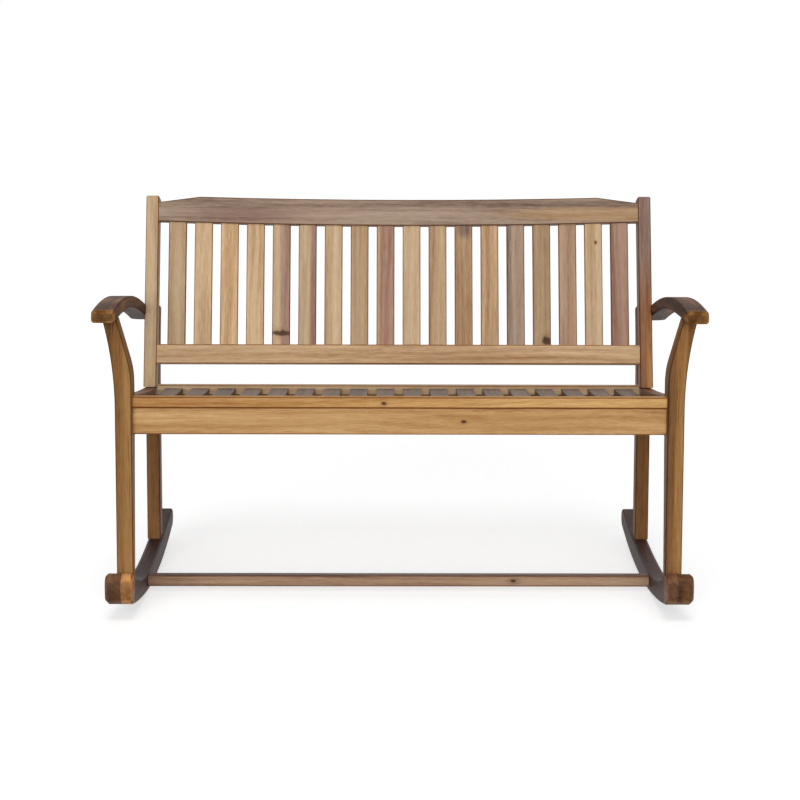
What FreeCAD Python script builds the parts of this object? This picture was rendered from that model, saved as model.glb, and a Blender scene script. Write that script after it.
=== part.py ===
import FreeCAD
import Part
import math
import os

# A two-seat hardwood rocking bench: a slatted seat and a slatted, reclined back, carried by two
# side frames that each stand on a curved rocker.
# Millimetres. X is across the bench, Y is to the rear and Z is up from the floor.
# Depths (Y) count back from the front faces of the front legs. The last step moves every piece so
# that the origin is on the floor under the middle of the bench.

V = FreeCAD.Vector

# Side frames, across the bench
INNER = 559.0                   # inner face of a front leg, from the middle of the bench
LEG_WIDTH = 35.0
OUTER = INNER + LEG_WIDTH       # outer face of legs, stiles and side aprons
BOARD = 30.0                    # thickness of stiles and side aprons
BOARD_IN = OUTER - BOARD

# Rockers
ROCK_RADIUS = 1950.0
ROCK_DEPTH = 312.0              # depth of the middle of the rockers' arc
ROCKER_IN = INNER - 1.0
PLY_SPLIT = INNER + 22.0
NOSE_OUT = OUTER + 21.0         # the nose is wider than the rest of the rocker
NOSE_WIDE = 40.0                # depth where the nose starts to narrow
NOSE_END = 135.0
ROCKER_REAR = 778.0
ROCKER_EASE = 6.0               # bevel on the outer edges
ROCKER_EASE_IN = 3.0            # bevel on the inner edges

# Front legs
LEG_FOOT = 40.0                 # where a leg's blank starts, inside the rocker
LEG_DEPTH = 60.0                # front to back, of the blank
LEG_DEPTH_FOOT = 26.0
LEG_DEPTH_SEAT = 55.0
LEG_DEPTH_TOP = 40.0
LEG_BLANK_TOP = 660.0
TAPER_START = 400.0             # height where the rear face starts to curve forwards
FLARE_START = 440.0             # height where the outer face leaves the plumb
FLARE_RADIUS = 745.0
KNEE_START = 493.0              # height where the inner face leaves the plumb
KNEE_RADIUS = 180.0
KNEE_SLOPE = 0.265              # sideways run of the inner face above the knee

# Rear legs
REAR_LEG_IN = INNER + 4.0
REAR_LEG_DEPTH = 45.0
REAR_TOP = 612.0
REAR_SWEEP = 400.0              # height where the back of the rear leg starts to lean
REAR_SWEEP_RADIUS = 770.0

# Seat
SEAT_BOTTOM = 383.0
SEAT_LEDGE = 440.0              # top of the front apron
RAIL_THICK = 22.6
FRONT_RAIL = 13.0
FRONT_RAIL_DEPTH = 32.0
APRON_FRONT = 20.0
APRON_THICK = 22.0
REAR_RAIL = 470.0
REAR_LEDGE = 413.0              # top of the rear apron
REAR_RAIL_DEPTH = 30.0
REAR_APRON = 478.0
REAR_BOTTOM = 366.0

# Slats
SLATS = 18
PITCH = 61.1
BACK_SLAT_WIDTH = 42.0
BACK_SLAT_THICK = 12.0
SEAT_SLAT_WIDTH = 40.0
SEAT_SLAT_THICK = 15.0
SHOULDER = 3.0                  # step from a slat's faces to its tenon
SLAT_TENON = 10.0
EASE = 2.0                      # bevel on the long edges of boards and slats

# Back, in its own plane: heights run up the slope from the foot of the stiles
RECLINE = math.degrees(math.atan(0.246))
BACK_FOOT = V(0, 495.2, 430.0)
STILE_DEPTH = 45.0
REAR_FACE = BACK_FOOT.y + STILE_DEPTH / math.cos(math.radians(RECLINE))
STILE_TOP = 453.6
STILE_FOOT = 428.5              # level cut, just above the side apron
RAIL_DEPTH = 22.0
SLAT_SET = 5.0                  # the slats stand this far behind the rails' faces
BOTTOM_RAIL = (54.5, 99.9)
TOP_RAIL = 383.0                # underside in the middle of the bench
BOW_RADIUS = 16750.0            # of that underside, which rises towards the stiles
CREST_MIDDLE = 444.7
CREST_BREAK = 451.0
CREST_END = 438.3
BREAK_X = 468.0
RAIL_TENON = 18.0

# Arms
ARM_NOSE = -45.0
ARM_TAIL = 640.0
ARM_IN = 585.5                  # inner face at the nose
ARM_WIDTH = 48.5
ARM_SPLAY = 0.5                 # degrees that an arm turns outwards to the rear
ARM_EASE = 4.0
TAIL_ROUND = 25.0

# Stretcher
STRETCHER = (244.0, 273.0)
STRETCHER_Z = (10.0, 35.6)
STRETCHER_EASE = 3.5

# Hardware, as radii and lengths
BOLT = 3.0
BOLT_HOLE = 3.3
BOLT_HEAD = 6.5
BOLT_HEAD_HIGH = 6.0
BOLT_SINK = 2.0
BOLT_PAST_NUT = 10.0
NUT = 5.0
NUT_LENGTH = 14.0
NUT_INSET = 30.0
SCREW = 2.0
SCREW_HEAD = 4.0
SCREW_HEAD_HIGH = 3.0

# Densities in kilograms per cubic millimetre
WOOD = 0.60e-6
STEEL = 7.85e-6


def box(x, y, z):
    """A box from three (low, high) pairs."""
    return Part.makeBox(x[1] - x[0], y[1] - y[0], z[1] - z[0], V(x[0], y[0], z[0]))


def line(a, b):
    return Part.LineSegment(a, b).toShape()


def arc(a, b, c):
    return Part.Arc(a, b, c).toShape()


def prism(edges, direction):
    """The solid swept by a closed outline."""
    return Part.Face(Part.Wire(edges)).extrude(direction)


def side(x, points):
    """(depth, height) pairs as points in the upright plane at x."""
    return [V(x, depth, height) for depth, height in points]


def level(points):
    """(depth, sideways) pairs as points in the plane of the floor."""
    return [V(sideways, depth, 0) for depth, sideways in points]


def smooth_arcs(start, slope, stops):
    """Arcs that leave start at a slope in degrees and run on through the stops without a corner.
    Each is given by its two ends and the point halfway."""
    arcs = []
    heading = math.radians(slope)
    for stop in stops:
        chord = math.atan2(stop[1] - start[1], stop[0] - start[0])
        bulge = math.dist(start, stop) / 2 * math.tan((chord - heading) / 2)
        halfway = ((start[0] + stop[0]) / 2 + bulge * math.sin(chord),
                   (start[1] + stop[1]) / 2 - bulge * math.cos(chord))
        arcs.append((start, halfway, stop))
        heading = 2 * chord - heading
        start = stop
    return arcs


def eased(shape, width, share=0.6):
    """Take the sharp corner off the edges that run most of the piece's length."""
    longest = max(edge.Length for edge in shape.Edges)
    edges = [edge for edge in shape.Edges if edge.Length > share * longest]
    return shape.makeChamfer(width, edges)


def eased_face(shape, x, width):
    """Take the sharp corner off every edge of the face that lies at x."""
    edges = [edge for edge in shape.Edges
             if abs(edge.BoundBox.XMin - x) < 0.01 and abs(edge.BoundBox.XMax - x) < 0.01]
    return shape.makeChamfer(width, edges)


def other_side(shape):
    return shape.mirror(V(0, 0, 0), V(1, 0, 0))


# Rockers

def swing(run, radius):
    """How far an arc that starts in line has turned aside after a run."""
    return radius - math.sqrt(radius ** 2 - run ** 2)


def underside(depth):
    return swing(depth - ROCK_DEPTH, ROCK_RADIUS)


def underside_slope(depth):
    return math.degrees(math.asin((depth - ROCK_DEPTH) / ROCK_RADIUS))


def rocker_ply(x_in, x_out):
    """Long arc below, round nose, hollow top and round tail."""
    nose_low = (-5.0, underside(-5.0))
    nose_top = (-12.0, 92.9)
    tail_low = (760.0, underside(760.0))
    tail_top = (753.0, 95.5)
    below = (nose_low, (ROCK_DEPTH, 0.0), tail_low)
    tail = smooth_arcs(tail_low, underside_slope(760.0), [(ROCKER_REAR, 75.0), tail_top])
    top = smooth_arcs(nose_top, -23.8, [(240.0, 41.0), tail_top])
    nose = smooth_arcs(nose_low, 180.0 + underside_slope(-5.0),
                       [(-35.0, 37.0), (-40.5, 45.0), (-43.0, 70.0), (-20.0, 94.4), nose_top])
    outline = [arc(*side(x_in, points)) for points in [below, *tail, *top[::-1], *nose[::-1]]]
    return prism(outline, V(x_out - x_in, 0, 0))


def behind_nose():
    """The space outside a rocker behind its nose, with an S in plan where the nose narrows."""
    bend = smooth_arcs((NOSE_WIDE, NOSE_OUT), 0.0,
                       [((NOSE_WIDE + NOSE_END) / 2, (NOSE_OUT + OUTER) / 2), (NOSE_END, OUTER)])
    clear = NOSE_OUT + BOARD
    rear = ROCKER_REAR + BOARD
    corners = level([(NOSE_END, OUTER), (rear, OUTER), (rear, clear), (NOSE_WIDE, clear),
                     (NOSE_WIDE, NOSE_OUT)])
    outline = [arc(*level(points)) for points in bend] + Part.makePolygon(corners).Edges
    return prism(outline, V(0, 0, 200))


def eased_outside(ply):
    """Take the sharp corner off the outer edges of an outer ply, which lie on several faces."""
    edges = [edge for edge in ply.Edges
             if edge.BoundBox.XMin > PLY_SPLIT + 1 and edge.BoundBox.YLength > 0.1]
    return ply.makeChamfer(ROCKER_EASE, edges)


# Legs

def front_leg_blank():
    """Straight below the seat and narrower towards the foot; above the seat flared outwards and
    curved forwards at the rear."""
    top = LEG_BLANK_TOP
    bend = KNEE_RADIUS * math.sin(math.atan(KNEE_SLOPE))
    outside = [V(OUTER + swing(z - FLARE_START, FLARE_RADIUS), 0, z) for z in (FLARE_START, 550.0, top)]
    inside = [V(INNER + swing(run, KNEE_RADIUS), 0, KNEE_START + run) for run in (0, bend / 2, bend)]
    inside_top = V(inside[-1].x + KNEE_SLOPE * (top - inside[-1].z), 0, top)
    foot_out = V(OUTER, 0, LEG_FOOT)
    foot_in = V(INNER, 0, LEG_FOOT)
    front_view = [
        line(foot_out, outside[0]),
        arc(*outside),
        line(outside[-1], inside_top),
        line(inside_top, inside[-1]),
        arc(*inside[::-1]),
        line(inside[0], foot_in),
        line(foot_in, foot_out),
    ]
    foot = (LEG_DEPTH_FOOT, LEG_FOOT)
    seat = (LEG_DEPTH_SEAT, TAPER_START)
    slope = math.degrees(math.atan2(seat[1] - foot[1], seat[0] - foot[0]))
    taper = smooth_arcs(seat, slope, [(LEG_DEPTH_TOP, top)])[0]
    straights = side(INNER, [taper[-1], (0, top), (0, LEG_FOOT), foot, seat])
    side_view = [arc(*side(INNER, taper))] + Part.makePolygon(straights).Edges
    across = prism(front_view, V(0, LEG_DEPTH, 0))
    along = prism(side_view, V(2 * LEG_WIDTH, 0, 0))
    return across.common(along)


def rear_leg_blank():
    """Upright below the seat, then leaning back behind the stile and growing thinner."""
    x = REAR_LEG_IN
    lean = math.tan(math.radians(RECLINE))
    back = REAR_FACE + REAR_LEG_DEPTH
    bend = (REAR_FACE, BACK_FOOT.z)
    top = (REAR_FACE + lean * (REAR_TOP - BACK_FOOT.z), REAR_TOP)
    sweep = [(back + swing(z - REAR_SWEEP, REAR_SWEEP_RADIUS), z) for z in (REAR_SWEEP, 510.0, 604.0)]
    foot = (REAR_FACE, LEG_FOOT)
    heel = (back, LEG_FOOT)
    outline = [
        line(*side(x, [foot, bend])),
        line(*side(x, [bend, top])),
        line(*side(x, [top, sweep[-1]])),
        arc(*side(x, sweep[::-1])),
        line(*side(x, [sweep[0], heel])),
        line(*side(x, [heel, foot])),
    ]
    return prism(outline, V(OUTER - x, 0, 0))


def side_apron(front, rear):
    """A board with a dished top edge, tenoned into both legs."""
    x = BOARD_IN
    low_front = (0, SEAT_BOTTOM)
    low_rear = (REAR_FACE + EASE, REAR_BOTTOM)
    high_front = (0, 466.0)
    high_rear = (REAR_FACE + EASE, 424.0)
    outline = [
        line(*side(x, [low_front, low_rear])),
        line(*side(x, [low_rear, high_rear])),
        arc(*side(x, [high_rear, (260.0, 441.5), high_front])),
        line(*side(x, [high_front, low_front])),
    ]
    board = eased(prism(outline, V(BOARD, 0, 0)), EASE).cut(front).cut(rear)
    tenon_x = (BOARD_IN + 9.0, BOARD_IN + 21.0)
    front_tenon = box(tenon_x, (38.0, 60.0), (396.0, 446.0))
    rear_tenon = box(tenon_x, (REAR_FACE - 10.0, REAR_FACE + 15.0), (376.0, 414.0))
    return board.fuse([front_tenon, rear_tenon])


# Arms

# An arm is made at x = 0 and turned and moved by placed()

def placed(shape):
    shape.rotate(V(0, ARM_NOSE, 0), V(0, 0, 1), -ARM_SPLAY)
    shape.translate(V(ARM_IN, 0, 0))
    return shape


def arm_underside():
    return smooth_arcs((-37.0, 621.2), 4.8, [(205.0, 631.5), (400.0, 617.0), (ARM_TAIL - 4.4, 574.5)])


def arm():
    """Curved in side view, with a rounded nose and the outer corner of the tail rounded off."""
    low = arm_underside()
    front = (ARM_NOSE, 633.0)
    top = smooth_arcs(front, 90.0, [(-32.0, 647.8), (170.0, 660.0), (400.0, 643.5), (ARM_TAIL, 599.0)])
    chin = smooth_arcs(low[0][0], 184.8, [(ARM_NOSE, 628.5)])
    side_view = [arc(*side(0, points)) for points in low]
    side_view.append(line(*side(0, [low[-1][-1], top[-1][-1]])))
    side_view += [arc(*side(0, points)) for points in top[::-1]]
    side_view.append(line(*side(0, [front, chin[0][-1]])))
    side_view.append(arc(*side(0, chin[0])))
    blank = prism(side_view, V(ARM_WIDTH, 0, 0))
    at_end = ARM_TAIL - 5.0
    corner = [edge for edge in blank.Edges if edge.BoundBox.XMin > 1 and edge.BoundBox.YMin > at_end]
    blank = blank.makeFillet(TAIL_ROUND, corner)
    for x in (0, ARM_WIDTH):
        rim = [edge for edge in blank.Edges if edge.BoundBox.YMin < at_end
               and abs(edge.BoundBox.XMin - x) < 0.01 and abs(edge.BoundBox.XMax - x) < 0.01]
        blank = blank.makeChamfer(ARM_EASE, rim)
    return placed(blank)


def above_arm():
    """The space from the arm's underside upwards, which cuts the top of the front leg."""
    low = arm_underside()
    high = 700.0
    front = low[0][0]
    rear = low[-1][-1]
    corners = side(-BOARD, [rear, (rear[0], high), (front[0], high), front])
    outline = [arc(*side(-BOARD, points)) for points in low] + Part.makePolygon(corners).Edges
    return placed(prism(outline, V(4 * BOARD, 0, 0)))


def side_frame():
    """One side: legs, apron, arm and the two plies of the rocker."""
    inner_blank = rocker_ply(ROCKER_IN, PLY_SPLIT)
    outer_blank = rocker_ply(PLY_SPLIT, NOSE_OUT).cut(behind_nose())
    inner_ply = eased_face(inner_blank, ROCKER_IN, ROCKER_EASE_IN)
    outer_ply = eased_outside(outer_blank)
    front_blank = front_leg_blank()
    rear_blank = rear_leg_blank()
    apron = side_apron(front_blank, rear_blank)

    middle = (ROCKER_IN + OUTER) / 2
    tenon_x = (middle - 9.0, middle + 9.0)
    front_foot = box(tenon_x, (8.0, 24.0), (52.0, 100.0))
    rear_foot = box(tenon_x, (REAR_FACE + 12.0, REAR_FACE + 33.0), (40.0, 90.0))
    arm_stub = box((591.0, 607.0), (12.0, 36.0), (600.0, 641.0))

    front = eased(front_blank, EASE, 0.2).cut([inner_blank, outer_blank, above_arm()])
    front = front.fuse([front_foot, arm_stub]).cut(apron)
    rear = eased(rear_blank, EASE, 0.2).cut([inner_blank, outer_blank])
    rear = rear.fuse(rear_foot).cut(apron)
    return {
        "front_leg": front,
        "rear_leg": rear,
        "side_apron": apron,
        "arm": arm().cut([front, rear]),
        "rocker_inner": inner_ply.cut([front, rear]),
        "rocker_outer": outer_ply.cut([front, rear]),
    }


# Back, built upright in its own plane and leaned back by reclined()

def reclined(shape):
    shape.rotate(V(0, 0, 0), V(1, 0, 0), -RECLINE)
    shape.translate(BACK_FOOT)
    return shape


def slat_x(number):
    return (number - (SLATS + 1) / 2) * PITCH


def back_slat(number):
    """Its top is cut in line with the curved underside of the top rail."""
    x = slat_x(number)
    half = BACK_SLAT_WIDTH / 2
    rear = SLAT_SET + BACK_SLAT_THICK
    low = BOTTOM_RAIL[1]
    high = TOP_RAIL + swing(x, BOW_RADIUS)
    tilt = half * x / (BOW_RADIUS - swing(x, BOW_RADIUS))
    corners = [V(x - half, SLAT_SET, low), V(x + half, SLAT_SET, low), V(x + half, SLAT_SET, high + tilt),
               V(x - half, SLAT_SET, high - tilt), V(x - half, SLAT_SET, low)]
    slat = eased(prism(Part.makePolygon(corners).Edges, V(0, BACK_SLAT_THICK, 0)), EASE)
    tenon = box((x - half + SHOULDER, x + half - SHOULDER), (SLAT_SET + SHOULDER, rear - SHOULDER),
                (low - SLAT_TENON, high + SLAT_TENON))
    return slat.fuse(tenon)


def rail_tenons(low, high):
    half = BOARD_IN + RAIL_TENON
    return box((-half, half), (RAIL_DEPTH / 4, RAIL_DEPTH * 3 / 4), (low + 8.0, high - 8.0))


def bottom_rail(slats):
    rail = box((-BOARD_IN, BOARD_IN), (0, RAIL_DEPTH), BOTTOM_RAIL)
    return eased(rail, EASE).fuse(rail_tenons(*BOTTOM_RAIL)).cut(slats)


def top_rail(slats):
    """A slightly hollow crest between two straight shoulders that fall to the stiles, and an
    underside that hangs lowest in the middle."""
    foot = V(BOARD_IN, 0, TOP_RAIL + swing(BOARD_IN, BOW_RADIUS))
    end = V(BOARD_IN, 0, CREST_END)
    turn = V(BREAK_X, 0, CREST_BREAK)
    mirrored = [V(-p.x, 0, p.z) for p in (foot, end, turn)]
    outline = [
        arc(mirrored[0], V(0, 0, TOP_RAIL), foot),
        line(foot, end),
        line(end, turn),
        arc(turn, V(0, 0, CREST_MIDDLE), mirrored[2]),
        line(mirrored[2], mirrored[1]),
        line(mirrored[1], mirrored[0]),
    ]
    rail = eased(prism(outline, V(0, RAIL_DEPTH, 0)), EASE, 0.07)
    return rail.fuse(rail_tenons(foot.z, end.z)).cut(slats)


def stile(rails):
    board = box((BOARD_IN, OUTER), (0, STILE_DEPTH), (-STILE_DEPTH, STILE_TOP))
    rounded = [edge for edge in board.Edges
               if edge.Length > STILE_TOP or edge.BoundBox.ZMin > STILE_TOP - 1]
    return board.makeChamfer(EASE, rounded).cut(rails)


def back():
    slats = {f"back_slat_{n:02d}": back_slat(n) for n in range(1, SLATS + 1)}
    low = bottom_rail(list(slats.values()))
    high = top_rail(list(slats.values()))
    post = stile([low, high])
    pieces = {**slats, "back_bottom_rail": low, "back_top_rail": high, "back_stile": post}
    pieces = {name: reclined(shape) for name, shape in pieces.items()}
    below = box((BOARD_IN - 1, OUTER + 1), (REAR_RAIL, REAR_FACE + EASE), (0, STILE_FOOT))
    pieces["back_stile"] = pieces["back_stile"].cut(below)
    return pieces


# Seat

def seat_slat(number):
    """Dished along its length, with a stub tenon into each rail."""
    x = slat_x(number) - SEAT_SLAT_WIDTH / 2
    front = FRONT_RAIL + FRONT_RAIL_DEPTH
    top = [(front, 455.0), (260.0, 435.0), (REAR_RAIL, 428.5)]
    low = [(depth, height - SEAT_SLAT_THICK) for depth, height in top]
    outline = [
        arc(*side(x, top)),
        line(*side(x, [top[-1], low[-1]])),
        arc(*side(x, low[::-1])),
        line(*side(x, [low[0], top[0]])),
    ]
    slat = prism(outline, V(SEAT_SLAT_WIDTH, 0, 0))
    tenon_x = (x + SHOULDER, x + SEAT_SLAT_WIDTH - SHOULDER)
    ends = []
    for (depth, height), way in ((top[0], -1), (top[-1], 1)):
        run = sorted((depth + way * SLAT_TENON, depth - way * SLAT_TENON))
        ends.append(box(tenon_x, run, (height - SEAT_SLAT_THICK + 2 * SHOULDER, height - 2 * SHOULDER)))
    return slat.fuse(ends)


def seat():
    slats = {f"seat_slat_{n:02d}": seat_slat(n) for n in range(1, SLATS + 1)}
    front_rail = box((-INNER, INNER), (FRONT_RAIL, FRONT_RAIL + FRONT_RAIL_DEPTH),
                     (SEAT_LEDGE, SEAT_LEDGE + RAIL_THICK))
    rear_rail = box((-ROCKER_IN, ROCKER_IN), (REAR_RAIL, REAR_RAIL + REAR_RAIL_DEPTH),
                    (REAR_LEDGE, REAR_LEDGE + RAIL_THICK))
    return {
        **slats,
        "seat_front_rail": eased(front_rail, EASE).cut(list(slats.values())),
        "seat_rear_rail": eased(rear_rail, EASE).cut(list(slats.values())),
    }


# Cross members

def cross_members():
    front = box((-INNER, INNER), (APRON_FRONT, APRON_FRONT + APRON_THICK), (SEAT_BOTTOM, SEAT_LEDGE))
    rear = box((-BOARD_IN, BOARD_IN), (REAR_APRON, REAR_APRON + APRON_THICK), (REAR_BOTTOM, REAR_LEDGE))
    tie = box((-ROCKER_IN, ROCKER_IN), STRETCHER, STRETCHER_Z)
    return {
        "front_apron": eased(front, EASE),
        "rear_apron": eased(rear, EASE),
        "stretcher": eased(tie, STRETCHER_EASE),
    }


# Hardware

def rod(radius, start, way, length):
    """A rod with six flats instead of a round face, as there are many and they are small."""
    across = V(way.y, way.z, way.x) * radius
    up = way.cross(across)
    angles = [math.radians(30 + 60 * step) for step in range(7)]
    rim = [start + across * math.cos(angle) + up * math.sin(angle) for angle in angles]
    return Part.Face(Part.makePolygon(rim)).extrude(way * length)


def bolt(surface, way, nut_at):
    """A socket-head bolt sunk into a surface, and the hole that it needs."""
    start = surface + way * BOLT_SINK
    length = (nut_at - start).dot(way) + BOLT_PAST_NUT
    body = rod(BOLT_HEAD, start, way, BOLT_HEAD_HIGH).fuse(rod(BOLT, start, way, length)).removeSplitter()
    mouth = start - way * 2 * BOLT_SINK
    hole = rod(BOLT_HEAD + 0.5, mouth, way, BOLT_HEAD_HIGH + 2 * BOLT_SINK)
    hole = hole.fuse(rod(BOLT_HOLE, start, way, length + 2.0))
    return body, hole


def barrel_nut(middle, axis):
    """A cross dowel, and the hole that it slides into, open on the side that axis points to."""
    start = middle - axis * (NUT_LENGTH / 2)
    return rod(NUT, start, axis, NUT_LENGTH), rod(NUT, start, axis, 2 * NUT_LENGTH)


def screw(surface, way, sink, length):
    start = surface + way * sink
    body = rod(SCREW_HEAD, start, way, SCREW_HEAD_HIGH).fuse(rod(SCREW, start, way, length)).removeSplitter()
    hole = rod(SCREW_HEAD + 0.5, start - way * (sink + 2.0), way, sink + 2.0 + SCREW_HEAD_HIGH)
    return body, hole.fuse(rod(SCREW, start, way, length))


def bolts_and_nuts():
    """Bolts of the right-hand side, each through a leg or rocker into a cross member."""
    inward = V(-1, 0, 0)
    to_rear = V(0, 1, 0)
    down = V(0, 0, -1)
    front_mid = APRON_FRONT + APRON_THICK / 2
    rear_mid = REAR_APRON + APRON_THICK / 2
    tie_y = sum(STRETCHER) / 2
    tie_z = sum(STRETCHER_Z) / 2
    joints = [(V(OUTER, front_mid, z), V(INNER - NUT_INSET, front_mid, z), to_rear) for z in (398.0, 425.0)]
    rear_z = (REAR_BOTTOM + REAR_LEDGE) / 2
    joints.append((V(OUTER, rear_mid, rear_z), V(BOARD_IN - NUT_INSET, rear_mid, rear_z), to_rear))
    joints.append((V(OUTER, tie_y, tie_z), V(ROCKER_IN - NUT_INSET, tie_y, tie_z), down))
    bodies = []
    nuts = []
    holes = []
    for surface, nut_at, axis in joints:
        body, hole = bolt(surface, inward, nut_at)
        nut, nut_hole = barrel_nut(nut_at, axis)
        bodies.append(body)
        nuts.append(nut.cut(body).removeSplitter())
        holes += [hole, nut_hole]
    return bodies, nuts, holes


def side_screws():
    """Screws of the right-hand side: rear leg into stile, and rear leg into arm."""
    forward = V(0, -1, 0)
    outward = V(1, 0, 0)
    x = (BOARD_IN + OUTER) / 2
    pairs = [screw(V(x, depth, z), forward, 10.0, 60.0) for depth, z in ((592.0, 468.0), (604.0, 560.0))]
    pairs.append(screw(V(REAR_LEG_IN, 597.0, 592.0), outward, 6.0, 50.0))
    return pairs


def seat_screws():
    """Screws up through the aprons into the seat's front and rear rails."""
    up = V(0, 0, 1)
    pairs = []
    for x in (-6 * PITCH, 0.0, 6 * PITCH):
        pairs.append(screw(V(x, APRON_FRONT + APRON_THICK / 2, SEAT_BOTTOM), up, 27.0, 45.0))
        pairs.append(screw(V(x, REAR_APRON + APRON_THICK / 2, REAR_BOTTOM), up, 17.0, 45.0))
    return pairs


def both_sides(shapes):
    return list(shapes) + [other_side(shape) for shape in shapes]


def build():
    pieces = {}
    right = side_frame()
    bench_back = back()
    right["back_stile"] = bench_back.pop("back_stile")
    right["arm"] = right["arm"].cut(right["back_stile"])
    for name, shape in right.items():
        pieces[f"{name}_right"] = shape
        pieces[f"{name}_left"] = other_side(shape)
    pieces.update(bench_back)
    pieces.update(seat())
    pieces.update(cross_members())

    bolts, nuts, bolt_holes = bolts_and_nuts()
    screws = side_screws()
    holes = both_sides(bolt_holes + [hole for _, hole in screws])
    holes += [hole for _, hole in seat_screws()]
    drilled = ("front_leg", "rear_leg", "side_apron", "back_stile", "arm", "rocker",
               "front_apron", "rear_apron", "stretcher", "seat_front_rail", "seat_rear_rail")
    for name in pieces:
        if name.startswith(drilled):
            pieces[name] = pieces[name].cut(holes)
    pieces = {name: shape.removeSplitter() for name, shape in pieces.items()}

    pieces["frame_bolts"] = Part.makeCompound(both_sides(bolts))
    pieces["barrel_nuts"] = Part.makeCompound(both_sides(nuts))
    long_screws = both_sides([body for body, _ in screws])
    pieces["wood_screws"] = Part.makeCompound(long_screws + [body for body, _ in seat_screws()])
    return pieces


def centre_of_gravity(pieces):
    mass = 0.0
    moment = V(0, 0, 0)
    for name, shape in pieces.items():
        density = STEEL if name in ("frame_bolts", "barrel_nuts", "wood_screws") else WOOD
        for solid in shape.Solids:
            mass += density * solid.Volume
            moment += solid.CenterOfMass * (density * solid.Volume)
    return moment * (1.0 / mass), mass


def rest_angle(centre):
    """The bench rolls about the middle of the rockers' arc until its weight hangs below that."""
    return math.degrees(math.atan2(centre.y - ROCK_DEPTH, ROCK_RADIUS - centre.z))


def main():
    pieces = build()
    centre, mass = centre_of_gravity(pieces)
    angle = rest_angle(centre)
    arc_middle = V(0, ROCK_DEPTH, ROCK_RADIUS)
    for shape in pieces.values():
        shape.rotate(arc_middle, V(1, 0, 0), -angle)
    ends = Part.makeCompound([pieces["arm_right"], pieces["rocker_outer_right"]])
    reach = ends.optimalBoundingBox(False, False)
    to_middle = V(0, -(reach.YMin + reach.YMax) / 2, 0)
    print(f"mass {mass:.1f} kg, centre {centre.y:.1f} deep and {centre.z:.1f} high")
    print(f"leans back {angle:.3f} degrees at rest, then moves {to_middle.y:.3f} along Y")
    os.makedirs("parts", exist_ok=True)
    for name, shape in pieces.items():
        shape.translate(to_middle)
        shape.exportStep(f"parts/{name}.step")


main()
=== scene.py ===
import math
import random

import bpy
from mathutils import Matrix, Vector


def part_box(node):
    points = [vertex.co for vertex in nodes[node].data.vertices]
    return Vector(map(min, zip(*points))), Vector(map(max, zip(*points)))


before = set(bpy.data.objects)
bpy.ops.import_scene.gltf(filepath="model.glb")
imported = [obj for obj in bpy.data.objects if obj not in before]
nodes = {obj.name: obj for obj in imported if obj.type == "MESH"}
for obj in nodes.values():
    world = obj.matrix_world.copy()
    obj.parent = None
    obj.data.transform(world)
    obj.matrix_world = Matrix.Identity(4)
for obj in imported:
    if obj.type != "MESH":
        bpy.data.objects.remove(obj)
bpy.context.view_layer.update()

# The looks of a hardwood rocking bench. Metres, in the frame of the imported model: +X to the right
# as seen from the front, +Y to the rear, +Z up. Every piece is one of the model's own. Each wooden
# one gets the material of a board of its own: grain along it, its own figure and its own tone.

# Camera, fitted to the photograph
CAMERA_AT = Vector((-0.0309, -4.4775, 1.0494))
CAMERA_PITCH = 8.068            # degrees downwards
CAMERA_YAW = 0.429              # degrees to the right
CAMERA_ROLL = 0.165             # degrees
CAMERA_REACH = 200.0
FOCAL_PIXELS = 1998
FRAME_PIXELS = 800
SENSOR = 36.0                   # millimetres

# Light: a level of 1 that falls straight on a white surface renders it white
LAMPS = (
    # name, level, degrees above the horizon, degrees round from the front, degrees wide, in reflections
    ("key", 0.74, 9.0, -6.0, 45.0, True),
    ("rear", 0.22, 14.0, 180.0, 45.0, False),
    ("top", 0.24, 60.0, 0.0, 26.0, True),
)
SKY_LEVEL = 0.18
FLOOR_COLOUR = 0.70
FLOOR_WHITE = 1.03              # how bright the bare floor looks: over 1, so that its faintest shadows go
FLOOR_SIZE = 80.0

# How far the bench leans back on its rockers, how far its back leans with it, and how the seat falls
REST_LEAN = math.radians(1.199)
BACK_LEAN = math.radians(13.82) + REST_LEAN
SEAT_FALL = 0.06                # per metre to the rear

# Grain: features per metre along the grain, across the board's face and through it
WANDER_GRAIN = (1.3, 6.0, 6.0)
BAND_GRAIN = (0.6, 26.0, 26.0)
STREAK_GRAIN = (2.4, 130.0, 130.0)
FIBRE_GRAIN = (30.0, 380.0, 380.0)
PORE_GRAIN = (55.0, 1300.0, 1300.0)
SCAR_GRAIN = (8.0, 210.0, 210.0)
BLUSH_GRAIN = (2.6, 16.0, 16.0)
KNOT_GRAIN = (45.0, 90.0, 90.0)
PATCH_GRAIN = (5.0, 60.0, 60.0)
STEEL_GRAIN = (420.0, 420.0, 420.0)

# Figure. Noise and tone both run from 0 to 1 about the middle, which is the tone of a board's body.
MIDDLE = 0.5
WANDER = 0.034                  # how wide the grain wanders
RING_STRETCH = (0.10, 1.0, 1.0)     # rings are long along the grain
RING_WAVE = {"Scale": 26.0, "Distortion": 5.0, "Detail": 2.0, "Detail Scale": 0.9, "Detail Roughness": 0.6}
RING_WEIGHT = 0.12
FIBRE_WEIGHT = 0.75
BLUSH_WEIGHT = 0.6
PORE_WEIGHT = 0.30
SPECKS = (0.60, 0.74)           # the noise from which pores and scars begin, and at which they are full
BLUSH_RUN = (0.40, 0.70)        # the same for the blush
ROUGHNESS = 0.40                # of the smoothest wood; streaks and pores add theirs
STREAK_ROUGHNESS = 0.22
PORE_ROUGHNESS = 0.15
PORE_DEPTH = 0.8                # against the height of the fibres

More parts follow.
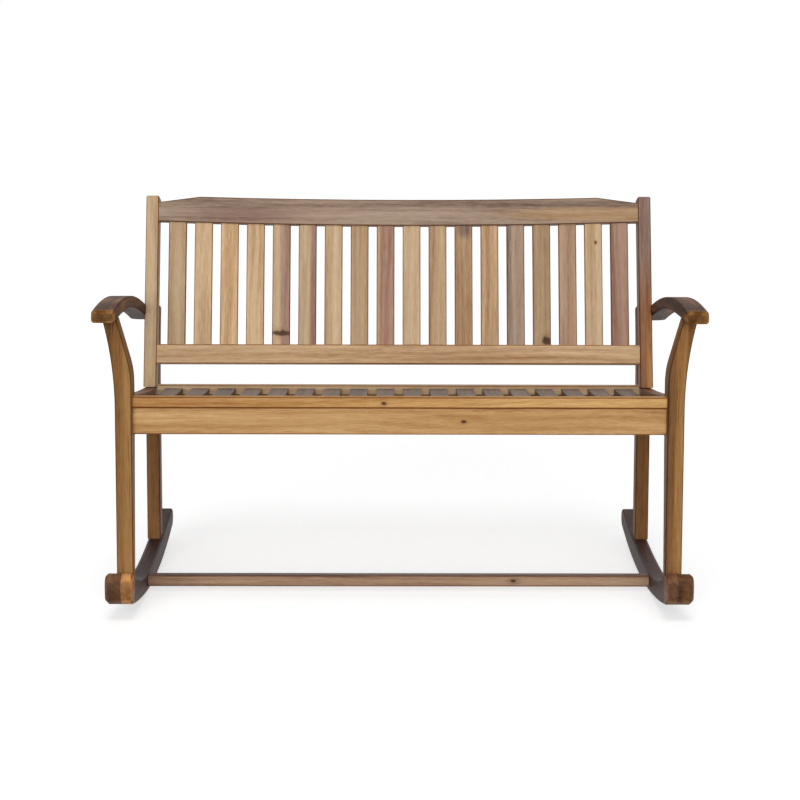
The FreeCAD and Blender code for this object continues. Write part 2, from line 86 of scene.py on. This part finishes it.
# Knots. Their reach is 1 at the ends of their length and width.
KNOT_DEPTH = 0.02               # half of a knot's size through the board
KNOT_RAGGED = 1.6
KNOT_BEND = 0.6                 # how far a knot pushes the grain round itself
KNOT_FADE = 0.35                # how fast that fades away from it
KNOT_CORE = (1.15, 0.55)        # the reach from which the core begins, and at which it is full
KNOT_HALO = (2.6, 0.7)          # the same for the halo
CORE_WEIGHT = 0.85
HALO_WEIGHT = 0.4

# Boards
FACE_TILT = 0.9                 # degrees by which the grain may run off its line, seen on the face
SIDE_TILT = 1.6                 # the same, seen on the edge
ALONG_TREE = (-9.0, 9.0)        # where in its tree a board may come from
ACROSS_TREE = (0.03, 0.12)
THROUGH_TREE = (0.03, 0.09)
PATCH_RAGGED = 1.2
EASED_EDGE = 0.0022             # radius
EDGE_SAMPLES = 6
EDGE_RUN = (0.22, 0.44)         # the slant at which the painted shade and oil darkening of an eased edge begin, and are full
END_RUN = (0.80, 0.97)          # how far a face looks along the grain where end grain begins, and is full
END_WEIGHT = 0.5
COAT_ROUGHNESS = 0.18
BUMP = {"Strength": 0.25, "Distance": 0.0004}

# Steel
STEEL_RUN = (0.3, 0.7)
STEEL_ROUGHNESS = (0.28, 0.45)


def srgb(red, green, blue):
    """A colour given as it looks on a screen, 0 to 255, in the numbers that a shader takes."""
    def linear(value):
        share = value / 255
        return share / 12.92 if share <= 0.04045 else ((share + 0.055) / 1.055) ** 2.4
    return (linear(red), linear(green), linear(blue), 1.0)


# Tones of the boards: dark streaks, body, light streaks
TONES = {
    "honey": (srgb(146, 96, 48), srgb(190, 149, 95), srgb(216, 180, 128)),
    "gold": (srgb(158, 104, 54), srgb(209, 166, 112), srgb(232, 196, 146)),
    "tan": (srgb(140, 102, 68), srgb(184, 153, 118), srgb(210, 184, 148)),
    "sand": (srgb(156, 120, 82), srgb(198, 169, 133), srgb(220, 196, 163)),
    "rose": (srgb(122, 84, 68), srgb(162, 127, 109), srgb(188, 157, 137)),
    "drift": (srgb(104, 80, 64), srgb(162, 137, 117), srgb(190, 168, 148)),
    "mauve": (srgb(96, 74, 64), srgb(165, 143, 124), srgb(194, 174, 154)),
    "plum": (srgb(82, 58, 50), srgb(142, 115, 101), srgb(170, 144, 128)),
    "amber": (srgb(104, 64, 28), srgb(152, 108, 60), srgb(180, 136, 84)),
    "walnut": (srgb(84, 50, 26), srgb(132, 92, 54), srgb(158, 116, 74)),
    "umber": (srgb(36, 18, 12), srgb(82, 50, 30), srgb(142, 96, 58)),
    "chestnut": (srgb(64, 36, 22), srgb(118, 80, 54), srgb(152, 110, 78)),
    "orange": (srgb(134, 76, 34), srgb(212, 150, 88), srgb(226, 174, 114)),
    "russet": (srgb(84, 50, 34), srgb(134, 92, 64), srgb(162, 120, 90)),
    "ember": (srgb(32, 17, 13), srgb(62, 38, 30), srgb(98, 64, 48)),
    # dusk, the seat slats' tone, is made darker than their wood in part as painted shade on the seat's
    # tops, where little light falls
    "dusk": (srgb(42, 28, 22), srgb(88, 65, 52), srgb(128, 101, 84)),
    "toffee": (srgb(108, 78, 58), srgb(171, 139, 113), srgb(196, 167, 142)),
}
KNOT_COLOUR = srgb(52, 32, 24)
EDGE_SHADE_AND_OIL = (0.50, 0.33, 0.20, 1.0)     # painted shade along the eased edges, together with the darkening that oil gives them
BLUSH = (0.92, 0.87, 0.84, 1.0)         # the dusky cast of some stretches of the grain
STEEL_DULL = srgb(150, 150, 146)
STEEL_BRIGHT = srgb(196, 197, 194)


# Node helpers

def add(tree, kind, sockets=None, **settings):
    """A node with its properties and, by socket name, its unlinked inputs."""
    node = tree.nodes.new(kind)
    for name, value in settings.items():
        setattr(node, name, value)
    for name, value in (sockets or {}).items():
        node.inputs[name].default_value = value
    return node


def wire(tree, start, end):
    """Feeds a socket from another one, or with a plain value."""
    if isinstance(start, bpy.types.NodeSocket):
        tree.links.new(start, end)
    else:
        end.default_value = start


def maths(tree, operation, *values):
    node = add(tree, "ShaderNodeMath", operation=operation)
    for value, socket in zip(values, node.inputs):
        wire(tree, value, socket)
    return node.outputs[0]


def vector_maths(tree, operation, *values):
    node = add(tree, "ShaderNodeVectorMath", operation=operation)
    for value, socket in zip(values, node.inputs):
        wire(tree, value, socket)
    return node.outputs["Value" if operation in ("LENGTH", "DOT_PRODUCT") else "Vector"]


def mix_colour(tree, share, first, second, blend="MIX"):
    """Mixes two colours. The node names its sockets alike for every type, so they go by number."""
    node = add(tree, "ShaderNodeMix", data_type="RGBA", blend_type=blend)
    for value, number in ((share, 0), (first, 6), (second, 7)):
        wire(tree, value, node.inputs[number])
    return node.outputs[2]


def spread(tree, value, low, high, start=0.0, end=1.0, smooth=True):
    """Maps the run from low to high onto the run from start to end."""
    ends = {"From Min": low, "From Max": high, "To Min": start, "To Max": end}
    kind = "SMOOTHSTEP" if smooth else "LINEAR"
    node = add(tree, "ShaderNodeMapRange", ends, interpolation_type=kind)
    wire(tree, value, node.inputs["Value"])
    return node.outputs["Result"]


def noise(tree, vector, grain, detail, roughness=0.55):
    """Noise with so many features per metre along, across and through the grain."""
    scaled = vector_maths(tree, "MULTIPLY", vector, grain)
    look = {"Scale": 1.0, "Detail": detail, "Roughness": roughness}
    node = add(tree, "ShaderNodeTexNoise", look)
    wire(tree, scaled, node.inputs["Vector"])
    return node.outputs["Fac"]


def new_group(name, inputs, outputs):
    tree = bpy.data.node_groups.new(name, "ShaderNodeTree")
    for label, kind in inputs:
        tree.interface.new_socket(name=label, in_out="INPUT", socket_type="NodeSocket" + kind)
    for label, kind in outputs:
        tree.interface.new_socket(name=label, in_out="OUTPUT", socket_type="NodeSocket" + kind)
    return tree, tree.nodes.new("NodeGroupInput").outputs, tree.nodes.new("NodeGroupOutput").inputs


def new_material(name):
    """A material with its node tree and its shader."""
    material = bpy.data.materials.new(name)
    material.use_nodes = True
    return material, material.node_tree, material.node_tree.nodes["Principled BSDF"]


# Wood

def figure_group():
    """The figure of a board, from a place in it: along, across and through the grain."""
    floats = [(label, "Float") for label in ("Bands", "Streaks", "Scars")]
    colours = [(label, "Color") for label in ("Dark", "Body", "Light")]
    results = [("Colour", "Color"), ("Roughness", "Float"), ("Height", "Float")]
    tree, given, result = new_group("wood_figure", [("Place", "Vector")] + floats + colours, results)

    wander = noise(tree, given["Place"], WANDER_GRAIN, detail=2.0)
    aside = maths(tree, "MULTIPLY_ADD", wander, WANDER, -WANDER / 2)
    shift = add(tree, "ShaderNodeCombineXYZ")
    wire(tree, aside, shift.inputs["Y"])
    wire(tree, aside, shift.inputs["Z"])
    place = vector_maths(tree, "ADD", given["Place"], shift.outputs[0])

    bands = noise(tree, place, BAND_GRAIN, detail=3.0)
    streaks = noise(tree, place, STREAK_GRAIN, detail=4.0, roughness=0.6)
    fibres = noise(tree, place, FIBRE_GRAIN, detail=3.0, roughness=0.65)
    pores = spread(tree, noise(tree, place, PORE_GRAIN, detail=1.0), *SPECKS)
    scars = spread(tree, noise(tree, place, SCAR_GRAIN, detail=2.0), *SPECKS)
    blush = spread(tree, noise(tree, given["Place"], BLUSH_GRAIN, detail=1.0), *BLUSH_RUN)

    rings = add(tree, "ShaderNodeTexWave", RING_WAVE, wave_type="RINGS", rings_direction="X")
    wire(tree, vector_maths(tree, "MULTIPLY", place, RING_STRETCH), rings.inputs["Vector"])

    tone = MIDDLE
    parts = (
        (bands, given["Bands"]),
        (rings.outputs["Fac"], RING_WEIGHT),
        (streaks, given["Streaks"]),
        (fibres, FIBRE_WEIGHT),
    )
    for value, weight in parts:
        tone = maths(tree, "MULTIPLY_ADD", maths(tree, "SUBTRACT", value, MIDDLE), weight, tone)
    up_to_body = spread(tree, tone, 0.0, MIDDLE, smooth=False)
    past_body = spread(tree, tone, MIDDLE, 1.0, smooth=False)
    colour = mix_colour(tree, up_to_body, given["Dark"], given["Body"])
    colour = mix_colour(tree, past_body, colour, given["Light"])
    colour = mix_colour(tree, maths(tree, "MULTIPLY", blush, BLUSH_WEIGHT), colour, BLUSH, "MULTIPLY")
    colour = mix_colour(tree, maths(tree, "MULTIPLY", scars, given["Scars"]), colour, given["Dark"])
    colour = mix_colour(tree, maths(tree, "MULTIPLY", pores, PORE_WEIGHT), colour, given["Dark"])
    wire(tree, colour, result["Colour"])

    rough = maths(tree, "MULTIPLY_ADD", streaks, STREAK_ROUGHNESS, ROUGHNESS)
    wire(tree, maths(tree, "MULTIPLY_ADD", pores, PORE_ROUGHNESS, rough), result["Roughness"])
    wire(tree, maths(tree, "MULTIPLY_ADD", pores, -PORE_DEPTH, fibres), result["Height"])
    return tree


def knot_group():
    """A knot: bends the grain round itself, and says how far a place is into it."""
    inputs = [("Place", "Vector"), ("Centre", "Vector"), ("Size", "Vector")]
    results = [("Place", "Vector"), ("Core", "Float"), ("Halo", "Float")]
    tree, given, result = new_group("wood_knot", inputs, results)
    away = vector_maths(tree, "SUBTRACT", given["Place"], given["Centre"])
    ragged = maths(tree, "SUBTRACT", noise(tree, given["Place"], KNOT_GRAIN, detail=3.0), MIDDLE)
    reach = vector_maths(tree, "LENGTH", vector_maths(tree, "DIVIDE", away, given["Size"]))
    reach = maths(tree, "MULTIPLY_ADD", ragged, KNOT_RAGGED, reach)
    fading = maths(tree, "MULTIPLY", maths(tree, "MULTIPLY", reach, reach), -KNOT_FADE)
    bend = add(tree, "ShaderNodeVectorMath", operation="SCALE")
    wire(tree, away, bend.inputs[0])
    wire(tree, maths(tree, "MULTIPLY", maths(tree, "EXPONENT", fading), -KNOT_BEND), bend.inputs["Scale"])
    wire(tree, vector_maths(tree, "ADD", given["Place"], bend.outputs[0]), result["Place"])
    wire(tree, spread(tree, reach, *KNOT_CORE), result["Core"])
    wire(tree, spread(tree, reach, *KNOT_HALO), result["Halo"])
    return tree


FIGURE = figure_group()
KNOT = knot_group()


def grain_turn(along, face, chance):
    """Turns a place in the bench into one along the grain, across the board's face and through it.
    The grain runs off the board's own line by chance, a little."""
    along = Vector(along).normalized()
    through = (Vector(face) - along * along.dot(Vector(face))).normalized()
    across = through.cross(along)
    tilt = Matrix.Rotation(math.radians(chance.uniform(-FACE_TILT, FACE_TILT)), 3, "Z")
    tilt = tilt @ Matrix.Rotation(math.radians(chance.uniform(-SIDE_TILT, SIDE_TILT)), 3, "Y")
    return tilt @ Matrix((along, across, through))


def place_in_tree(turn, name, chance):
    """What moves a board from where it is in the bench to a place of its own near the pith of a tree."""
    low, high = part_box(name)
    middle = turn @ ((low + high) / 2)
    there = [chance.uniform(*run) for run in (ALONG_TREE, ACROSS_TREE, THROUGH_TREE)]
    return tuple(new - old for new, old in zip(there, middle))


def add_knots(tree, place, turn, knots):
    """The place with its grain bent round the knots, and how far it is into each one's core and halo."""
    depths = []
    for centre, length, width in knots:
        knot = add(tree, "ShaderNodeGroup", node_tree=KNOT)
        knot.inputs["Centre"].default_value = turn @ Vector(centre)
        knot.inputs["Size"].default_value = (length / 2, width / 2, KNOT_DEPTH)
        wire(tree, place, knot.inputs["Place"])
        place = knot.outputs["Place"]
        depths.append((knot.outputs["Core"], knot.outputs["Halo"]))
    return place, depths


def add_patches(tree, colours, where, place, patches):
    """The colours of a tone, turned into those of another one inside each patch."""
    if not patches:
        return colours
    ragged = maths(tree, "SUBTRACT", noise(tree, place, PATCH_GRAIN, detail=2.0), MIDDLE)
    for other, centre, half, soft in patches:
        away = vector_maths(tree, "SUBTRACT", where, centre)
        reach = vector_maths(tree, "LENGTH", vector_maths(tree, "DIVIDE", away, half))
        reach = maths(tree, "MULTIPLY_ADD", ragged, PATCH_RAGGED * soft, reach)
        share = spread(tree, reach, 1.0 + soft, 1.0 - soft)
        colours = [mix_colour(tree, share, mine, its) for mine, its in zip(colours, TONES[other])]
    return colours


def wood(name, tone, along, face, chance, bands=1.6, streaks=0.6, scars=0.4, shine=0.08, coat=0.0,
         edge=1.0, shade=1.0, knots=(), patches=()):
    """The material of one board. Shade makes its tone lighter or darker, and edge says how far painted
    shade, with the oil's darkening, lies on its eased edges. A knot is (centre in the bench, length,
    width), and a patch of another tone is (tone, centre in the bench, half sizes, softness of the rim)."""
    material, tree, shader = new_material(name + "_wood")
    turn = grain_turn(along, face, chance)
    where = add(tree, "ShaderNodeTexCoord").outputs["Object"]
    mapping = add(tree, "ShaderNodeMapping", {"Rotation": turn.to_euler()}, vector_type="POINT")
    wire(tree, where, mapping.inputs["Vector"])

    dark = TONES[tone][0]
    place, depths = add_knots(tree, mapping.outputs[0], turn, knots)
    colours = [tuple(part * shade for part in colour[:3]) + (1.0,) for colour in TONES[tone]]
    colours = add_patches(tree, colours, where, place, patches)

    figure = add(tree, "ShaderNodeGroup", node_tree=FIGURE)
    wire(tree, vector_maths(tree, "ADD", place, place_in_tree(turn, name, chance)), figure.inputs["Place"])
    for label, value in (("Bands", bands), ("Streaks", streaks), ("Scars", scars)):
        wire(tree, value, figure.inputs[label])
    for label, value in zip(("Dark", "Body", "Light"), colours):
        wire(tree, value, figure.inputs[label])
    colour = figure.outputs["Colour"]
    for core, halo in depths:
        colour = mix_colour(tree, maths(tree, "MULTIPLY", halo, HALO_WEIGHT), colour, dark)
        colour = mix_colour(tree, maths(tree, "MULTIPLY", core, CORE_WEIGHT), colour, KNOT_COLOUR)

    rounded = add(tree, "ShaderNodeBevel", {"Radius": EASED_EDGE}, samples=EDGE_SAMPLES).outputs[0]
    facing = [maths(tree, "ABSOLUTE", vector_maths(tree, "DOT_PRODUCT", rounded, tuple(row)))
              for row in turn]
    end_grain = spread(tree, facing[0], *END_RUN)
    colour = mix_colour(tree, maths(tree, "MULTIPLY", end_grain, END_WEIGHT), colour, dark)
    # painted shade, with the darkening of oil, along the eased edges
    rim = spread(tree, maths(tree, "MULTIPLY", facing[1], facing[2]), *EDGE_RUN)
    colour = mix_colour(tree, maths(tree, "MULTIPLY", rim, edge), colour, EDGE_SHADE_AND_OIL, "MULTIPLY")
    wire(tree, colour, shader.inputs["Base Color"])
    wire(tree, figure.outputs["Roughness"], shader.inputs["Roughness"])
    shader.inputs["Specular IOR Level"].default_value = shine
    shader.inputs["Coat Weight"].default_value = coat
    shader.inputs["Coat Roughness"].default_value = COAT_ROUGHNESS

    bump = add(tree, "ShaderNodeBump", BUMP)
    wire(tree, figure.outputs["Height"], bump.inputs["Height"])
    wire(tree, rounded, bump.inputs["Normal"])
    wire(tree, bump.outputs[0], shader.inputs["Normal"])
    return material


def steel():
    material, tree, shader = new_material("zinc_plate")
    where = add(tree, "ShaderNodeTexCoord").outputs["Object"]
    grains = noise(tree, where, STEEL_GRAIN, detail=3.0)
    wire(tree, mix_colour(tree, grains, STEEL_DULL, STEEL_BRIGHT), shader.inputs["Base Color"])
    wire(tree, spread(tree, grains, *STEEL_RUN, *STEEL_ROUGHNESS), shader.inputs["Roughness"])
    shader.inputs["Metallic"].default_value = 1.0
    return material


# Which board goes where. The grain of the legs leans forward as far as the bench leans back, so it
# runs a little off their own line.

ACROSS = (1, 0, 0)
REARWARD = (0, 1, 0)
FORWARD_FACE = (0, -1, 0)
UP = (0, -math.sin(REST_LEAN), math.cos(REST_LEAN))
UP_THE_BACK = (0, math.sin(BACK_LEAN), math.cos(BACK_LEAN))
DOWN_THE_SEAT = (0, 1, -SEAT_FALL)
TOP_FACE = (0, 0, 1)

# A piece takes the first of these that its name starts with: the board's tone, where its grain runs,
# which of its faces is the broad one, and how its wood differs. The back slats' tones follow from
# left to right.
BOARDS = {
    "front_leg_right": ("walnut", UP, FORWARD_FACE, {"bands": 2.2, "scars": 0.8}),
    "front_leg": ("amber", UP, FORWARD_FACE, {"bands": 2.2, "scars": 0.8}),
    "rear_leg": ("walnut", UP, FORWARD_FACE, {}),
    "side_apron": ("russet", REARWARD, ACROSS, {}),
    "arm": ("umber", REARWARD, TOP_FACE, {"shine": 0.06, "bands": 2.6, "streaks": 1.0}),
    "rocker": ("ember", REARWARD, ACROSS, {"shine": 0.12}),
    "back_stile_left": ("sand", UP_THE_BACK, FORWARD_FACE, {}),
    "back_stile_right": ("russet", UP_THE_BACK, FORWARD_FACE, {}),
    "back_top_rail": ("mauve", ACROSS, FORWARD_FACE, {}),
    "back_bottom_rail": ("tan", ACROSS, FORWARD_FACE, {}),
    "seat_front_rail": ("honey", ACROSS, FORWARD_FACE, {}),
    "seat_rear_rail": ("tan", ACROSS, TOP_FACE, {}),
    "front_apron": ("gold", ACROSS, FORWARD_FACE, {}),
    "rear_apron": ("honey", ACROSS, FORWARD_FACE, {}),
    "stretcher": ("toffee", ACROSS, FORWARD_FACE, {"edge": 0.4}),
    # the seat slats' dark tone is in part painted shade on their tops
    "seat_slat": ("dusk", DOWN_THE_SEAT, TOP_FACE, {"shine": 0.4, "coat": 0.10}),
    "back_slat": (None, UP_THE_BACK, FORWARD_FACE, {}),
}
BACK_SLAT_TONES = ("sand", "sand", "sand", "sand", "sand", "sand", "sand", "tan", "rose", "sand",
                   "tan", "tan", "tan", "drift", "tan", "toffee", "sand", "rose")

# What single boards have of their own: how much lighter or darker they are, knots, and patches of
# another tone. The plum patch on the stretcher's top is painted shade, and the small amber one on the
# right rocker's nose a painted highlight. A patch far larger than its board in two directions parts it
# in a straight line.
FAR = 9.0
NOSE = (FAR, 0.050, 0.045)
SHADES = {
    "arm_right": 1.25, "back_bottom_rail": 1.27, "back_slat_01": 0.90, "back_slat_02": 1.17,
    "back_slat_03": 1.34, "back_slat_04": 1.12, "back_slat_06": 0.90, "back_slat_08": 0.92,
    "back_slat_09": 1.12, "back_slat_13": 1.18, "back_slat_15": 0.82, "back_stile_right": 1.12,
    "front_apron": 0.92, "front_leg_left": 0.84, "front_leg_right": 0.84, "seat_front_rail": 1.20,
}
KNOTS = {
    "back_slat_05": [((-0.274, 0.168, 0.549), 0.015, 0.052)],
    "back_slat_15": [((0.347, 0.164, 0.534), 0.022, 0.020)],
    "back_slat_17": [((0.464, 0.224, 0.759), 0.010, 0.006)],
    "stretcher": [((0.256, -0.124, 0.025), 0.018, 0.010)],
    "seat_front_rail": [((-0.033, -0.346, 0.457), 0.012, 0.008)],
    "front_apron": [((0.133, -0.340, 0.417), 0.012, 0.008)],
}
PATCHES = {
    "arm_left": [
        ("amber", (-0.612, -0.401, 0.630), (FAR, 0.020, 0.050), 0.5),
        ("walnut", (-0.612, -0.255, 0.655), (FAR, 0.045, 0.050), 0.7),
    ],
    "arm_right": [("amber", (0.612, -0.401, 0.630), (FAR, 0.026, 0.050), 0.5)],
    "back_slat_05": [("rose", (-0.255, 0, 0.7), (0.021, FAR, FAR), 0.25)],
    "back_slat_06": [("rose", (-0.190, 0, 0.7), (0.016, FAR, FAR), 0.25)],
    "back_slat_09": [("tan", (-0.056, 0, 0.7), (0.013, FAR, FAR), 0.25)],
    "back_slat_11": [("sand", (0.120, 0, 0.7), (0.020, FAR, FAR), 0.25)],
    "back_slat_12": [("plum", (0.156, 0.230, 0.786), (0.014, FAR, 0.018), 0.6)],
    "front_leg_right": [("amber", (0.632, 0, 0.4), (0.056, FAR, FAR), 0.1)],
    "back_top_rail": [
        ("plum", (-0.380, 0.241, 0.822), (0.120, FAR, 0.018), 0.6),
        ("plum", (-0.315, 0.250, 0.866), (0.160, FAR, 0.010), 0.5),
        ("tan", (0.520, 0.241, 0.823), (0.260, FAR, 0.016), 0.4),
    ],
    "back_stile_right": [
        ("plum", (0.576, 0.250, 0.840), (FAR, FAR, 0.160), 0.5),
        ("orange", (0.596, 0.158, 0.470), (0.012, FAR, 0.150), 0.6),
    ],
    "front_apron": [("honey", (0.0, 0.0, 0.414), (0.700, FAR, 0.018), 0.6)],
    # painted shade, with a greyish painted sheen, on the stretcher's top face, where little light falls
    "stretcher": [("plum", (0.0, 0.0, 0.038), (FAR, FAR, 0.0035), 0.2)],
    "rocker_inner_left": [("orange", (-0.569, -0.411, 0.072), NOSE, 0.3)],
    "rocker_outer_left": [("chestnut", (-0.600, -0.411, 0.072), NOSE, 0.3)],
    "rocker_inner_right": [("russet", (0.569, -0.411, 0.072), NOSE, 0.3)],
    "rocker_outer_right": [
        ("chestnut", (0.600, -0.411, 0.072), NOSE, 0.3),
        # painted highlight: the golden middle of the right rocker's rounded nose
        ("amber", (0.598, -0.411, 0.062), (0.009, 0.050, 0.020), 0.5),
    ],
}


def board_material(name, board):
    tone, along, face, extras = BOARDS[board]
    if board == "back_slat":
        tone = BACK_SLAT_TONES[int(name[-2:]) - 1]
    return wood(name, tone, along, face, random.Random(name), shade=SHADES.get(name, 1.0),
                knots=KNOTS.get(name, ()), patches=PATCHES.get(name, ()), **extras)


plate = steel()
for name in sorted(nodes):
    board = next((start for start in BOARDS if name.startswith(start)), None)
    nodes[name].data.materials.clear()
    nodes[name].data.materials.append(board_material(name, board) if board else plate)


# Floor, light and camera

def seen_directly(tree):
    """1 for the rays that show the background: to the camera, in reflections and through glass."""
    path = add(tree, "ShaderNodeLightPath").outputs
    direct = maths(tree, "MAXIMUM", path["Is Camera Ray"], path["Is Glossy Ray"])
    return maths(tree, "MAXIMUM", direct, path["Is Transmission Ray"])


def make_floor():
    """A pale floor that keeps the bench's shadow and looks white where none falls."""
    half = FLOOR_SIZE / 2
    mesh = bpy.data.meshes.new("floor")
    corners = [(-half, -half, 0), (half, -half, 0), (half, half, 0), (-half, half, 0)]
    mesh.from_pydata(corners, [], [(0, 1, 2, 3)])
    floor = bpy.data.objects.new("floor", mesh)
    bpy.context.scene.collection.objects.link(floor)
    material = bpy.data.materials.new("white_floor")
    material.use_nodes = True
    tree = material.node_tree
    tree.nodes.clear()
    paint = add(tree, "ShaderNodeBsdfDiffuse", {"Color": (FLOOR_COLOUR,) * 3 + (1.0,)})
    falling = sum(level * math.sin(math.radians(height)) for _, level, height, *_ in LAMPS)
    lit = FLOOR_COLOUR * (falling + SKY_LEVEL)
    lift = add(tree, "ShaderNodeEmission")
    wire(tree, maths(tree, "MULTIPLY", seen_directly(tree), FLOOR_WHITE - lit), lift.inputs["Strength"])
    both = add(tree, "ShaderNodeAddShader")
    wire(tree, paint.outputs[0], both.inputs[0])
    wire(tree, lift.outputs[0], both.inputs[1])
    wire(tree, both.outputs[0], add(tree, "ShaderNodeOutputMaterial").inputs["Surface"])
    mesh.materials.append(material)


def make_sky():
    """An even sky that looks white."""
    world = bpy.data.worlds.new("studio")
    world.use_nodes = True
    bpy.context.scene.world = world
    tree = world.node_tree
    tree.nodes.clear()
    light, seen = [add(tree, "ShaderNodeBackground", {"Color": (1, 1, 1, 1), "Strength": strength})
                   for strength in (SKY_LEVEL, 1.0)]
    choice = add(tree, "ShaderNodeMixShader")
    wire(tree, seen_directly(tree), choice.inputs["Fac"])
    wire(tree, light.outputs[0], choice.inputs[1])
    wire(tree, seen.outputs[0], choice.inputs[2])
    wire(tree, choice.outputs[0], add(tree, "ShaderNodeOutputWorld").inputs["Surface"])


def make_lamp(name, level, height, side, wide, in_reflections):
    data = bpy.data.lights.new(name, "SUN")
    data.energy = level * math.pi
    data.angle = math.radians(wide)
    lamp = bpy.data.objects.new(name, data)
    lamp.rotation_euler = (math.radians(90 - height), 0, math.radians(side))
    lamp.visible_glossy = in_reflections
    bpy.context.scene.collection.objects.link(lamp)


def make_camera():
    data = bpy.data.cameras.new("camera")
    data.sensor_width = SENSOR
    data.lens = SENSOR * FOCAL_PIXELS / FRAME_PIXELS
    data.clip_end = CAMERA_REACH
    camera = bpy.data.objects.new("camera", data)
    turn = Matrix.Rotation(math.radians(-CAMERA_YAW), 4, "Z")
    turn = turn @ Matrix.Rotation(math.radians(90 - CAMERA_PITCH), 4, "X")
    turn = turn @ Matrix.Rotation(math.radians(CAMERA_ROLL), 4, "Z")
    camera.matrix_world = Matrix.Translation(CAMERA_AT) @ turn
    bpy.context.scene.collection.objects.link(camera)
    bpy.context.scene.camera = camera


make_floor()
make_sky()
for lamp in LAMPS:
    make_lamp(*lamp)
make_camera()
bpy.context.scene.view_settings.view_transform = "Standard"
